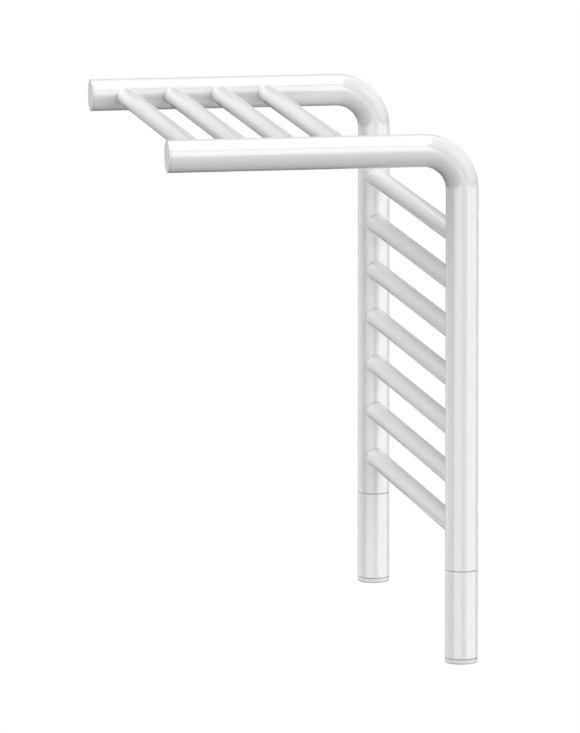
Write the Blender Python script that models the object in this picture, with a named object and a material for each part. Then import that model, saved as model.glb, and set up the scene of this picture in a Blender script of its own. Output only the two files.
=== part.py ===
"""Electric towel warmer with a towel shelf, built as it comes apart on a bench.

Metres, +Z up. The origin is the centre of the four wall bosses, on the plane of their rear faces.
+Y points at the wall, the shelf reaches out along -Y, and +X is the user's right, where the control is.
Heights named *_H are measured up from the ends of the legs, and up() turns them into Z.
"""

import math

import bmesh
import bpy
from mathutils import Matrix, Vector

# ---- Driving dimensions -------------------------------------------------------------------------

TUBE_R = 0.019  # uprights, arms and sleeves
TUBE_WALL = 0.0015
BAR_R = 0.0111
BAR_WALL = 0.00125
SPACING = 0.562  # between the two uprights' centrelines
ARM_H = 0.600  # centreline of the shelf arms
ARM_REACH = 0.345  # from the uprights' centreline to the arms' ends
BEND_R = 0.0465  # centreline radius of the bend
BAR_PITCH = 0.057
FIRST_BAR_H = 0.1535
LADDER_BARS = 7
FIRST_SHELF_BAR = 0.1335  # from the uprights' centreline to the rearmost shelf bar
SHELF_BARS = 4
SLEEVE_TOP_H = 0.109
SLEEVE_BOTTOM_H = 0.00635
CAP_TOP_H = 0.00545
SEAM = 0.0006  # between an upright and its sleeve
GAP = 0.0003  # between pieces that touch

# ---- Derived dimensions -------------------------------------------------------------------------

TUBE_BORE = TUBE_R - TUBE_WALL
SPIGOT_R = TUBE_BORE - GAP
BAR_HOLE_R = BAR_R + GAP
BAR_END = 0.013  # a bar's end, from the centreline of the tube that it enters
CAP_PLATE = 0.002  # thickness of the plates that close the arms
CAP_PLUG = 0.008
BOSS_R = 0.007
BOSS_DEPTH = 0.012
BOSS_BORE_R = 0.0034  # tapping size of an M8 thread
BOSS_BORE_DEPTH = 0.010
BOSS_FACE = 0.0175  # from the upright's centreline, so the face is sunk below the tube's crown
LOW_BOSS_H = FIRST_BAR_H + 0.5 * BAR_PITCH
HIGH_BOSS_H = FIRST_BAR_H + (LADDER_BARS - 0.5) * BAR_PITCH
FIXING_H = (LOW_BOSS_H + HIGH_BOSS_H) / 2
LEG_X = SPACING / 2
LEG_Y = -BOSS_FACE
UPRIGHT_BOTTOM_H = SLEEVE_TOP_H + SEAM

TUBE_SIDES = 32
BAR_SIDES = 24
SMALL_SIDES = 20
BEND_STEPS = 8

# The threaded bushes, and the plugs that screw into them
BUSH_BOTTOM_H = 0.096
BUSH_TOP_H = 0.126
BUSH_BORE = 0.0105
PLUG_SHANK_R = 0.0102
PLUG_TOP_H = 0.112
FLANGE_R = 0.0145
FLANGE_TOP_H = 0.0934
FLANGE_BOTTOM_H = 0.0908
HEX_BOTTOM_H = 0.084
HEX_ACROSS_FLATS = 0.027
O_RING_R = 0.012
O_RING_SECTION = 0.001
GRUB_R = 0.002
GRUB_H = 0.1025
GRUB_IN = 0.0145
GRUB_OUT = 0.0186

# The heating element: a hairpin with a temperature probe between its legs
HAIRPIN_R = 0.003
HAIRPIN_HALF = 0.0062
HAIRPIN_BOTTOM_H = 0.079
HAIRPIN_TOP_H = 0.460
PROBE_R = 0.0015
PROBE_BOTTOM_H = 0.080
PROBE_TOP_H = 0.180

# The control, in the right-hand sleeve
CARRIER_BOTTOM_H = 0.014
CARRIER_TOP_H = 0.018
RAIL_TOP_H = 0.064
RAIL_INNER = 0.0105
RAIL_OUTER = 0.0140
RAIL_LIP = 0.0015
SHAFT_R = 0.002
SHAFT_FLAT = 0.0013  # from the shaft's axis
SHAFT_TOP_H = 0.0243
BUSHING_R = 0.0035
BUSHING_BOTTOM_H = 0.0112
POT_R = 0.008
POT_BORE_TOP_H = 0.0246
POT_TOP_H = 0.027
NUT_BOTTOM_H = 0.0118
NUT_ACROSS_FLATS = 0.010
BOARD_HALF = 0.012
BOARD_FRONT = 0.006  # behind the leg's centreline
BOARD_THICK = 0.0016
BOARD_BOTTOM_H = 0.028
BOARD_TOP_H = 0.068
PART_DEPTH = 0.008  # how far the relay and the terminals stand off the board
TERMINALS_BOTTOM_H = 0.058
TERMINALS_TOP_H = 0.067
TERMINALS_HALF = 0.007
LEAD_R = 0.0011
LEAD_HALF = 0.004  # from the middle of the terminals to each lead
GROMMET_H = 0.045
GROMMET_R = 0.0047
GROMMET_BORE = 0.0032

# The caps at the leg ends: the right-hand one is the control knob
CAP_ROUND = 0.0022
CAP_FLOOR = 0.0024
CAP_SKIRT_TOP_H = 0.0095
CAP_SKIRT_WALL = 0.002
KNOB_CLEARANCE = 0.0006
HUB_R = 0.005
HUB_TOP_H = 0.0102


def up(height):
    """Z of a height above the leg ends."""
    return height - FIXING_H


# ---- Blender helpers ----------------------------------------------------------------------------


def clear_scene():
    for old in list(bpy.data.objects):
        bpy.data.objects.remove(old)


def material(name, colour, roughness, metallic=0.0):
    made = bpy.data.materials.new(name)
    made.use_nodes = True
    shader = made.node_tree.nodes["Principled BSDF"]
    shader.inputs["Base Color"].default_value = (*colour, 1.0)
    shader.inputs["Roughness"].default_value = roughness
    shader.inputs["Metallic"].default_value = metallic
    return made


def add(name, bm, finish=None, location=(0, 0, 0), rotation=(0, 0, 0)):
    """Turns a bmesh into an object, with its faces pointing out and its round faces shaded smooth."""
    bmesh.ops.recalc_face_normals(bm, faces=bm.faces)
    mesh = bpy.data.meshes.new(name)
    bm.to_mesh(mesh)
    bm.free()
    mesh.shade_smooth()
    mesh.set_sharp_from_angle(angle=math.radians(35))
    made = bpy.data.objects.new(name, mesh)
    bpy.context.scene.collection.objects.link(made)
    made.location = location
    made.rotation_euler = rotation
    if finish:
        mesh.materials.append(finish)
    return made


def turned(profile, sides, ring=False):
    """A shape turned about Z from (radius, height) points. A ring's profile is a loop clear of the axis."""
    bm = bmesh.new()
    points = [bm.verts.new((radius, 0, height)) for radius, height in profile]
    pairs = list(zip(points, points[1:] + points[:1]))
    edges = [bm.edges.new(pair) for pair in (pairs if ring else pairs[:-1])]
    bmesh.ops.spin(
        bm, geom=points + edges, cent=(0, 0, 0), axis=(0, 0, 1), angle=math.tau, steps=sides, use_merge=True
    )
    bmesh.ops.remove_doubles(bm, verts=bm.verts, dist=1e-6)
    return bm


def tube_profile(outer, inner, low, high):
    return [(outer, low), (outer, high), (inner, high), (inner, low)]


def prism(outline, low, high):
    """An outline of (x, y) points, extruded from one height to another."""
    bm = bmesh.new()
    base = bm.faces.new([bm.verts.new((x, y, low)) for x, y in outline])
    grown = bmesh.ops.extrude_face_region(bm, geom=[base])
    moved = [item for item in grown["geom"] if isinstance(item, bmesh.types.BMVert)]
    bmesh.ops.translate(bm, verts=moved, vec=(0, 0, high - low))
    return bm


def rectangle(x0, x1, y0, y1):
    return [(x0, y0), (x1, y0), (x1, y1), (x0, y1)]


def hexagon(across_flats):
    corner = across_flats / math.sqrt(3)
    return [(corner * math.cos(i * math.pi / 3), corner * math.sin(i * math.pi / 3)) for i in range(6)]


def rod_into(bm, radius, start, end, sides):
    """Adds a plain cylinder from start to end to a bmesh."""
    start, end = Vector(start), Vector(end)
    along = end - start
    turn = along.to_track_quat("Z", "X").to_matrix().to_4x4()
    bmesh.ops.create_cone(
        bm, cap_ends=True, segments=sides, radius1=radius, radius2=radius, depth=along.length,
        matrix=Matrix.Translation((start + end) / 2) @ turn,
    )


def combine(target, tool, operation):
    """Cuts tool out of target, or joins it on. The tool stays as a hidden guide."""
    tool.hide_render = True
    tool.display_type = "WIRE"
    step = target.modifiers.new(operation.title(), "BOOLEAN")
    step.operation = operation
    step.object = tool


# ---- Frame --------------------------------------------------------------------------------------


def bent_tube():
    """One upright with its bend and its arm, as a hollow tube about the leg's centreline, at X = 0."""
    pivot = Matrix.Translation((0, LEG_Y - BEND_R, up(ARM_H - BEND_R)))
    to_centreline = Matrix.Translation((0, BEND_R, 0))
    stations = [Matrix.Translation((0, LEG_Y, up(UPRIGHT_BOTTOM_H)))]
    for i in range(BEND_STEPS + 1):
        stations.append(pivot @ Matrix.Rotation(i / BEND_STEPS * math.pi / 2, 4, "X") @ to_centreline)
    stations.append(Matrix.Translation((0, CAP_PLATE + GAP + BEND_R - ARM_REACH, 0)) @ stations[-1])

    bm = bmesh.new()
    turns = [i * math.tau / TUBE_SIDES for i in range(TUBE_SIDES)]
    walls = []
    for radius in (TUBE_R, TUBE_BORE):
        circle = [Vector((radius * math.cos(a), radius * math.sin(a), 0)) for a in turns]
        walls.append([[bm.verts.new(station @ point) for point in circle] for station in stations])
    strips = [pair for wall in walls for pair in zip(wall, wall[1:])]
    strips += [(walls[0][end], walls[1][end]) for end in (0, -1)]
    for near, far in strips:
        for i in range(TUBE_SIDES):
            bm.faces.new((near[i - 1], near[i], far[i], far[i - 1]))
    return bm


def bar_places():
    """(name, Y, Z) of every bar: the ladder from the bottom up, then the shelf from the wall outwards."""
    for i in range(LADDER_BARS):
        yield f"ladder_bar_{i + 1}", LEG_Y, up(FIRST_BAR_H + i * BAR_PITCH)
    for i in range(SHELF_BARS):
        yield f"shelf_bar_{i + 1}", LEG_Y - FIRST_SHELF_BAR - i * BAR_PITCH, up(ARM_H)


def upright(side, name, finish):
    """A bent tube with a hole for each bar on its inner side and two for the wall bosses at its rear."""
    tube = add(name, bent_tube(), finish, location=(side * LEG_X, 0, 0))
    holes = bmesh.new()
    for _, y, z in bar_places():
        rod_into(holes, BAR_HOLE_R, (side * (LEG_X - 0.006), y, z), (side * (LEG_X - 0.030), y, z), BAR_SIDES)
    for height in (LOW_BOSS_H, HIGH_BOSS_H):
        centre = Vector((side * LEG_X, LEG_Y, up(height)))
        start, end = centre + Vector((0, 0.010, 0)), centre + Vector((0, 0.025, 0))
        rod_into(holes, BOSS_R + GAP, start, end, SMALL_SIDES)
    combine(tube, add(f"{name}_holes", holes), "DIFFERENCE")


def arm_cap(side, name, finish):
    """A flat plate over the arm's end, with a short plug inside the tube."""
    plug_top = CAP_PLATE + CAP_PLUG
    profile = [(0, 0), (TUBE_R, 0), (TUBE_R, CAP_PLATE), (SPIGOT_R, CAP_PLATE)]
    profile += [(SPIGOT_R, plug_top), (0, plug_top)]
    place = (side * LEG_X, LEG_Y - ARM_REACH, up(ARM_H))
    add(name, turned(profile, TUBE_SIDES), finish, place, (-math.pi / 2, 0, 0))


def bars(finish):
    half = LEG_X - BAR_END
    profile = tube_profile(BAR_R, BAR_R - BAR_WALL, -half, half)
    for name, y, z in bar_places():
        add(name, turned(profile, BAR_SIDES, ring=True), finish, (0, y, z), (0, math.pi / 2, 0))


def wall_boss(side, height, name, finish):
    """A blind threaded boss let into the rear of an upright. Its flat rear face takes a wall spacer."""
    lead = 0.0006
    profile = [
        (0, -BOSS_DEPTH), (BOSS_R, -BOSS_DEPTH), (BOSS_R, 0), (BOSS_BORE_R + lead, 0),
        (BOSS_BORE_R, -lead), (BOSS_BORE_R, -BOSS_BORE_DEPTH), (0, -BOSS_BORE_DEPTH),
    ]
    add(name, turned(profile, SMALL_SIDES), finish, (side * LEG_X, 0, up(height)), (-math.pi / 2, 0, 0))


# ---- Leg ends -----------------------------------------------------------------------------------


def leg_place(side):
    return (side * LEG_X, LEG_Y, up(0))


def rear_hole(side, name, radius, inner, outer, height):
    """A hidden cutter along Y, from inner to outer behind a leg's centreline."""
    hole = bmesh.new()
    centre = Vector(leg_place(side)) + Vector((0, 0, height))
    rod_into(hole, radius, centre + Vector((0, inner, 0)), centre + Vector((0, outer, 0)), SMALL_SIDES)
    return add(name, hole)


def bush(side, name, finish):
    """The threaded ring in an upright's foot. Its lower half is the spigot that carries the sleeve."""
    profile = tube_profile(SPIGOT_R, BUSH_BORE, BUSH_BOTTOM_H, BUSH_TOP_H)
    ring = add(name, turned(profile, TUBE_SIDES, ring=True), finish, leg_place(side))
    combine(ring, rear_hole(side, f"{name}_dimple", GRUB_R + GAP, GRUB_IN - GAP, 0.020, GRUB_H), "DIFFERENCE")


def sleeve(side, name, finish, has_cable_entry):
    """The tube that covers a leg's foot, flush with the upright above it."""
    chamfer = 0.0003
    profile = [
        (TUBE_R - chamfer, SLEEVE_BOTTOM_H), (TUBE_R, SLEEVE_BOTTOM_H + chamfer),
        (TUBE_R, SLEEVE_TOP_H - chamfer), (TUBE_R - chamfer, SLEEVE_TOP_H),
        (TUBE_BORE, SLEEVE_TOP_H), (TUBE_BORE, SLEEVE_BOTTOM_H),
    ]
    shell = add(name, turned(profile, TUBE_SIDES, ring=True), finish, leg_place(side))
    combine(shell, rear_hole(side, f"{name}_screw_hole", GRUB_R + GAP, 0.012, 0.022, GRUB_H), "DIFFERENCE")
    if has_cable_entry:
        entry = rear_hole(side, f"{name}_entry", GROMMET_R + GAP, 0.012, 0.022, GROMMET_H)
        combine(shell, entry, "DIFFERENCE")


def grub_screw(side, name, finish):
    """A socket set screw through the rear of a sleeve, into the bush behind it."""
    socket_depth = 0.0016
    centre = Vector(leg_place(side)) + Vector((0, GRUB_OUT, GRUB_H))
    profile = [(0, GRUB_IN - GRUB_OUT), (GRUB_R, GRUB_IN - GRUB_OUT), (GRUB_R, 0), (0, 0)]
    screw = add(name, turned(profile, SMALL_SIDES), finish, centre, (-math.pi / 2, 0, 0))
    socket = add(f"{name}_socket", prism(hexagon(0.002), -socket_depth, 0.002))
    socket.location = centre
    socket.rotation_euler = (-math.pi / 2, 0, 0)
    combine(screw, socket, "DIFFERENCE")


def screwed_plug(side, name, finish):
    """A hex-headed plug, screwed up into a bush with its flange against the sealing ring."""
    profile = [
        (0, FLANGE_BOTTOM_H), (FLANGE_R, FLANGE_BOTTOM_H), (FLANGE_R, FLANGE_TOP_H),
        (PLUG_SHANK_R, FLANGE_TOP_H), (PLUG_SHANK_R, PLUG_TOP_H), (0, PLUG_TOP_H),
    ]
    plug = add(name, turned(profile, BAR_SIDES), finish, leg_place(side))
    head = add(f"{name}_hex", prism(hexagon(HEX_ACROSS_FLATS), HEX_BOTTOM_H, FLANGE_BOTTOM_H + 0.0005))
    head.location = leg_place(side)
    combine(plug, head, "UNION")
    return plug


def o_ring(side, name, finish):
    centre_h = FLANGE_TOP_H + GAP + O_RING_SECTION
    steps = 8
    profile = [
        (O_RING_R + O_RING_SECTION * math.cos(i * math.tau / steps),
         centre_h + O_RING_SECTION * math.sin(i * math.tau / steps))
        for i in range(steps)
    ]
    add(name, turned(profile, BAR_SIDES, ring=True), finish, leg_place(side))


def end_cap(side, name, finish, skirt_r):
    """The flush cap that closes a leg, with a rounded lower edge and a skirt inside the sleeve."""
    round_steps = 4
    rounded = [
        (TUBE_R - CAP_ROUND + CAP_ROUND * math.sin(a), CAP_ROUND - CAP_ROUND * math.cos(a))
        for a in (i * math.pi / 2 / round_steps for i in range(round_steps + 1))
    ]
    inner = skirt_r - CAP_SKIRT_WALL
    profile = [(0, 0), *rounded, (TUBE_R, CAP_TOP_H), (skirt_r, CAP_TOP_H), (skirt_r, CAP_SKIRT_TOP_H)]
    profile += [(inner, CAP_SKIRT_TOP_H), (inner, CAP_TOP_H), (0, CAP_TOP_H)]
    return add(name, turned(profile, TUBE_SIDES), finish, leg_place(side))


# ---- Heater -------------------------------------------------------------------------------------


def wire(name, points, radius, finish, resolution):
    """A round wire through a list of points, with its ends closed."""
    curve = bpy.data.curves.new(name, "CURVE")
    curve.dimensions = "3D"
    curve.bevel_depth = radius
    curve.bevel_resolution = resolution
    curve.use_fill_caps = True
    spline = curve.splines.new("POLY")
    spline.points.add(len(points) - 1)
    for knot, point in zip(spline.points, points):
        knot.co = (*point, 1)
    made = bpy.data.objects.new(name, curve)
    bpy.context.scene.collection.objects.link(made)
    curve.materials.append(finish)
    return made


def heating_element(side, finish):
    """A tubular element bent into a hairpin, both of its legs passing through the heater head."""
    turn_steps = 10
    turn_h = HAIRPIN_TOP_H - HAIRPIN_R - HAIRPIN_HALF
    points = [(-HAIRPIN_HALF, 0, HAIRPIN_BOTTOM_H)]
    for i in range(turn_steps + 1):
        a = math.pi * (1 - i / turn_steps)
        points.append((HAIRPIN_HALF * math.cos(a), 0, turn_h + HAIRPIN_HALF * math.sin(a)))
    points.append((HAIRPIN_HALF, 0, HAIRPIN_BOTTOM_H))
    wire("heating_element", points, HAIRPIN_R, finish, 4).location = leg_place(side)


def heater_head(side, finish):
    head = screwed_plug(side, "heater_head", finish)
    holes = bmesh.new()
    for x, radius in ((-HAIRPIN_HALF, HAIRPIN_R), (HAIRPIN_HALF, HAIRPIN_R), (0, PROBE_R)):
        rod_into(holes, radius + GAP, (x, 0, HEX_BOTTOM_H - 0.005), (x, 0, PLUG_TOP_H + 0.005), SMALL_SIDES)
    combine(head, add("heater_head_holes", holes, location=leg_place(side)), "DIFFERENCE")


def temperature_probe(side, finish):
    profile = [(0, PROBE_BOTTOM_H), (PROBE_R, PROBE_BOTTOM_H), (PROBE_R, PROBE_TOP_H), (0, PROBE_TOP_H)]
    add("temperature_probe", turned(profile, 12), finish, leg_place(side))


# ---- Control ------------------------------------------------------------------------------------


def control_carrier(side, finish):
    """A disc that holds the potentiometer, with two grooved rails that hold the circuit board."""
    profile = tube_profile(SPIGOT_R - 0.0003, BUSHING_R + 0.0004, CARRIER_BOTTOM_H, CARRIER_TOP_H)
    disc = add("control_carrier", turned(profile, TUBE_SIDES, ring=True), finish, leg_place(side))
    front, back = BOARD_FRONT - GAP, BOARD_FRONT + BOARD_THICK + GAP
    groove = BOARD_HALF + GAP
    for hand, label in ((-1, "left"), (1, "right")):
        outline = [
            (hand * RAIL_INNER, front - RAIL_LIP), (hand * RAIL_OUTER, front - RAIL_LIP),
            (hand * RAIL_OUTER, back + RAIL_LIP), (hand * RAIL_INNER, back + RAIL_LIP),
            (hand * RAIL_INNER, back), (hand * groove, back),
            (hand * groove, front), (hand * RAIL_INNER, front),
        ]
        rail = add(f"carrier_rail_{label}", prism(outline, CARRIER_TOP_H - 0.001, RAIL_TOP_H))
        rail.location = leg_place(side)
        combine(disc, rail, "UNION")


def potentiometer(side, finish):
    """The control's rotary resistor: a round body on the carrier, with a threaded bushing through it."""
    bore = SHAFT_R + GAP
    shelf = CARRIER_TOP_H + GAP
    profile = [
        (0, POT_TOP_H), (POT_R, POT_TOP_H), (POT_R, shelf), (BUSHING_R, shelf), (BUSHING_R, BUSHING_BOTTOM_H),
        (bore, BUSHING_BOTTOM_H), (bore, POT_BORE_TOP_H), (0, POT_BORE_TOP_H),
    ]
    add("potentiometer", turned(profile, BAR_SIDES), finish, leg_place(side))


def potentiometer_nut(side, finish):
    outline = hexagon(NUT_ACROSS_FLATS)
    nut = add("potentiometer_nut", prism(outline, NUT_BOTTOM_H, CARRIER_BOTTOM_H - GAP), finish)
    nut.location = leg_place(side)
    bore = bmesh.new()
    through = 0.002
    bottom, top = NUT_BOTTOM_H - through, CARRIER_BOTTOM_H + through
    rod_into(bore, BUSHING_R + GAP, (0, 0, bottom), (0, 0, top), SMALL_SIDES)
    combine(nut, add("potentiometer_nut_bore", bore, location=leg_place(side)), "DIFFERENCE")


def flat_cutter(name, depth, low, high, place):
    """A block beyond a flat at depth from the shaft's axis."""
    block = add(name, prism(rectangle(-0.004, 0.004, depth, 0.006), low, high))
    block.location = place
    return block


def control_shaft(side, finish):
    low = CAP_FLOOR + 0.0005
    profile = [(0, low), (SHAFT_R, low), (SHAFT_R, SHAFT_TOP_H), (0, SHAFT_TOP_H)]
    shaft = add("control_shaft", turned(profile, SMALL_SIDES), finish, leg_place(side))
    combine(shaft, flat_cutter("shaft_flat", SHAFT_FLAT, 0, HUB_TOP_H + GAP, leg_place(side)), "DIFFERENCE")


def control_knob(side, finish):
    """The right-hand leg cap, on the shaft's flat, with a pointer groove on its underside."""
    knob = end_cap(side, "control_knob", finish, TUBE_BORE - KNOB_CLEARANCE)
    hub_profile = [(0, CAP_TOP_H - 0.0005), (HUB_R, CAP_TOP_H - 0.0005), (HUB_R, HUB_TOP_H), (0, HUB_TOP_H)]
    combine(knob, add("knob_hub", turned(hub_profile, BAR_SIDES), location=leg_place(side)), "UNION")
    bore_profile = [(0, CAP_FLOOR), (SHAFT_R + GAP, CAP_FLOOR), (SHAFT_R + GAP, 0.012), (0, 0.012)]
    bore = add("knob_bore", turned(bore_profile, SMALL_SIDES), location=leg_place(side))
    key = flat_cutter("knob_bore_flat", SHAFT_FLAT + GAP, 0, 0.014, leg_place(side))
    combine(bore, key, "DIFFERENCE")
    combine(knob, bore, "DIFFERENCE")
    pointer = add("knob_pointer", prism(rectangle(-0.0006, 0.0006, -0.0165, -0.0060), -0.001, 0.0007))
    pointer.location = leg_place(side)
    combine(knob, pointer, "DIFFERENCE")


def block(name, box, finish, side):
    """A plain box given as (x0, x1, y0, y1, low, high) about a leg's foot."""
    made = add(name, prism(rectangle(*box[:4]), box[4], box[5]), finish)
    made.location = leg_place(side)
    return made


def circuit(side, finishes):
    """The board, with the relay and the capacitor on its front and the terminals on its back."""
    front = BOARD_FRONT - GAP
    back = BOARD_FRONT + BOARD_THICK
    board = (-BOARD_HALF, BOARD_HALF, BOARD_FRONT, back, BOARD_BOTTOM_H, BOARD_TOP_H)
    block("circuit_board", board, finishes["board"], side)
    relay = (-0.010, 0.001, front - PART_DEPTH, front, 0.033, 0.048)
    block("power_relay", relay, finishes["black_plastic"], side)
    terminals = (
        -TERMINALS_HALF, TERMINALS_HALF, back + GAP, back + PART_DEPTH, TERMINALS_BOTTOM_H, TERMINALS_TOP_H,
    )
    block("terminal_block", terminals, finishes["green_plastic"], side)
    can_r, can_x, can_low, can_high = 0.0035, 0.006, 0.034, 0.046
    can = [(0, can_low), (can_r, can_low), (can_r, can_high), (0, can_high)]
    x, y, z = leg_place(side)
    add("capacitor", turned(can, 16), finishes["black_plastic"], (x + can_x, y + front - can_r - GAP, z))


def heater_lead(side, hand, name, finish):
    """An insulated wire from one of the element's ends, over the board's top edge, to the terminals."""
    start = Vector((hand * HAIRPIN_HALF, 0, HAIRPIN_BOTTOM_H - GAP))
    end = Vector((hand * LEAD_HALF, BOARD_FRONT + BOARD_THICK + PART_DEPTH / 2, TERMINALS_TOP_H + GAP))
    steps = 8
    route = []
    for i in range(steps + 1):
        t = i / steps
        ease = t * t * (3 - 2 * t)
        point = start.lerp(end, ease)
        point.z = start.z + (end.z - start.z) * t
        route.append(point)
    wire(name, route, LEAD_R, finish, 2).location = leg_place(side)


def cable_grommet(side, finish):
    """The rubber ring in the sleeve's rear where the supply lead enters, held by an inner flange."""
    flange_r, flange_in, neck_in, outer = 0.0062, 0.0140, 0.0157, 0.0184
    profile = [
        (GROMMET_BORE, flange_in), (flange_r, flange_in), (flange_r, neck_in), (GROMMET_R, neck_in),
        (GROMMET_R, outer), (GROMMET_BORE, outer),
    ]
    x, y, z = leg_place(side)
    ring = turned(profile, SMALL_SIDES, ring=True)
    add("cable_grommet", ring, finish, (x, y, z + GROMMET_H), (-math.pi / 2, 0, 0))


# ---- Assembly -----------------------------------------------------------------------------------


def main():
    clear_scene()
    enamel = material("white_enamel", (0.87, 0.87, 0.87), 0.22)
    cap_white = material("white_plastic", (0.88, 0.88, 0.88), 0.28)
    steel = material("steel", (0.62, 0.62, 0.63), 0.35, 1.0)
    brass = material("brass", (0.78, 0.62, 0.32), 0.35, 1.0)
    rubber = material("rubber", (0.04, 0.04, 0.04), 0.8)
    finishes = {
        "black_plastic": material("black_plastic", (0.03, 0.03, 0.03), 0.5),
        "green_plastic": material("green_plastic", (0.10, 0.35, 0.16), 0.5),
        "board": material("board", (0.05, 0.22, 0.10), 0.45),
    }
    left, right = -1, 1

    for side, hand in ((left, "left"), (right, "right")):
        upright(side, f"{hand}_upright", enamel)
        arm_cap(side, f"{hand}_arm_cap", enamel)
        wall_boss(side, LOW_BOSS_H, f"lower_{hand}_wall_boss", steel)
        wall_boss(side, HIGH_BOSS_H, f"upper_{hand}_wall_boss", steel)
        bush(side, f"{hand}_bush", steel)
        grub_screw(side, f"{hand}_grub_screw", steel)
    bars(enamel)

    sleeve(left, "plain_sleeve", enamel, has_cable_entry=False)
    screwed_plug(left, "blank_plug", brass)
    o_ring(left, "blank_plug_o_ring", rubber)
    end_cap(left, "plain_end_cap", cap_white, SPIGOT_R)

    sleeve(right, "control_sleeve", enamel, has_cable_entry=True)
    heater_head(right, brass)
    o_ring(right, "heater_o_ring", rubber)
    heating_element(right, steel)
    temperature_probe(right, steel)
    control_carrier(right, finishes["black_plastic"])
    potentiometer(right, finishes["black_plastic"])
    potentiometer_nut(right, steel)
    control_shaft(right, steel)
    control_knob(right, cap_white)
    circuit(right, finishes)
    heater_lead(right, left, "heater_lead_left", rubber)
    heater_lead(right, right, "heater_lead_right", rubber)
    cable_grommet(right, rubber)


main()
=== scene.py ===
"""The looks of the wall-hung towel warmer: smooth enamelled tubes, seams, caps and inner parts.

Metres, in the CAD's frame: +Z up, +Y towards the wall, +X to the user's right.
"""

import math

import bmesh
import bpy
from mathutils import Matrix, Vector


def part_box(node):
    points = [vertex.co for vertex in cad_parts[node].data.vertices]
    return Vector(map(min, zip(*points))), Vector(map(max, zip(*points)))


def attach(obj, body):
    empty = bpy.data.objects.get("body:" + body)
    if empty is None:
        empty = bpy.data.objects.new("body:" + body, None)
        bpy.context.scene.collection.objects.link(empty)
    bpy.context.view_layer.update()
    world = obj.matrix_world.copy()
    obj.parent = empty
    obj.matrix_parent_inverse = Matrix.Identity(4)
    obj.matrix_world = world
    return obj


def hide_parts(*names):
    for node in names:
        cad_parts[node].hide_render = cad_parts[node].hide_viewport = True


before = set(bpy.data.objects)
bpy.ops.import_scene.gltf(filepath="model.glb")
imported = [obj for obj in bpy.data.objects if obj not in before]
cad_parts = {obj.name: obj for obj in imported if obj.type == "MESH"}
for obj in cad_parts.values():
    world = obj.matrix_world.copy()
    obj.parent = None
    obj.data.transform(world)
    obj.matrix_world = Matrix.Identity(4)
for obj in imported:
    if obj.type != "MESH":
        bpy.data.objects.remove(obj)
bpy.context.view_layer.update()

FRAME_BODY = "frame"
KNOB_BODY = "knob"
HANDS = {"left": -1, "right": 1}
LEVELS = ("lower", "upper")

# ---- Sizes --------------------------------------------------------------------------------------


def middle(node):
    low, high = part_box(node)
    return (low + high) / 2


def size(node):
    low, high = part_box(node)
    return high - low


LEG_X = middle("right_bush").x
LEG_Y = middle("right_bush").y
LEG_END_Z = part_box("control_knob")[0].z
ARM_Z = middle("right_arm_cap").z
ARM_END_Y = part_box("right_arm_cap")[0].y
TUBE_R = size("right_arm_cap").x / 2
FOOT_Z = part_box("right_upright")[0].z
GAP = 0.0003  # between pieces that touch, as in the CAD
TUBE_WALL = TUBE_R - size("right_bush").x / 2 - GAP
TUBE_BORE = TUBE_R - TUBE_WALL
BEND_R = 0.0465  # the bend's centreline
REAR_WALL = (0.010, 0.025)  # behind a leg's centreline, from inside its tube to outside
GRUB_R = 0.002
GROMMET_NECK_R = 0.0047
BUSH_PITCH = 0.0015  # the thread between a bush and its plug
NUT_PITCH = 0.00075  # the thread between the potentiometer and its nut
HAIRPIN_HALF = (size("heating_element").x - size("heating_element").y) / 2
TERMINAL_HALF = 0.004  # from the middle of the terminal block to each terminal

TUBE_SIDES = 96
BAR_SIDES = 128
BEND_STEPS = 40
FINE_SIDES = 48  # around a small part
PAST = 0.001  # how far a cutter reaches past the surface it opens
EDGE = 0.0003  # the broken edge at a seam
WEAR_AND_SEAM_SHADE_WIDTH = 0.0005  # how far an edge is rubbed, and how wide the painted seam shade is on the white finishes
SHARP = 32  # degrees; a steeper edge stays crisp
THREAD_SHARP = 20  # the same on threaded pieces


# ---- Mesh helpers -------------------------------------------------------------------------------


def new_object(name, bm, sharp=SHARP):
    bmesh.ops.recalc_face_normals(bm, faces=bm.faces)
    mesh = bpy.data.meshes.new(name)
    bm.to_mesh(mesh)
    bm.free()
    made = bpy.data.objects.new(name, mesh)
    bpy.context.scene.collection.objects.link(made)
    return smooth(made, sharp)


def smooth(piece, sharp=SHARP):
    piece.data.shade_smooth()
    piece.data.set_sharp_from_angle(angle=math.radians(sharp))
    return piece


def skin(bm, rings, closed=False):
    """Joins rings of points, given one after another, into a surface. A ring of one point is a tip."""
    pairs = list(zip(rings, rings[1:]))
    if closed:
        pairs.append((rings[-1], rings[0]))
    for near, far in pairs:
        for i in range(max(len(near), len(far))):
            corners = {near[i - 1 if len(near) > 1 else 0]: 0, near[i if len(near) > 1 else 0]: 0}
            corners.update({far[i if len(far) > 1 else 0]: 0, far[i - 1 if len(far) > 1 else 0]: 0})
            if len(corners) > 2:
                bm.faces.new(list(corners))


def around(sides):
    """Evenly spaced angles of a full turn."""
    return [i * math.tau / sides for i in range(sides)]


def turned(profile, sides=TUBE_SIDES, closed=False):
    """A solid turned about Z from (radius, height) points. A closed profile is a ring clear of the axis.

    Where an open profile's end is on the axis and level with the next point, the end is one flat face.
    """
    bm = bmesh.new()
    rings = []
    for radius, height in profile:
        angles = around(sides) if radius > 0 else [0]
        rings.append([bm.verts.new((radius * math.cos(a), radius * math.sin(a), height)) for a in angles])
    for end, inner in ((0, 1), (-1, -2)):
        if len(rings[end]) == 1 and profile[end][1] == profile[inner][1]:
            bm.verts.remove(rings[end].pop())
            bm.faces.new(rings[inner])
    skin(bm, [ring for ring in rings if ring], closed)
    return bm


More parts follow.
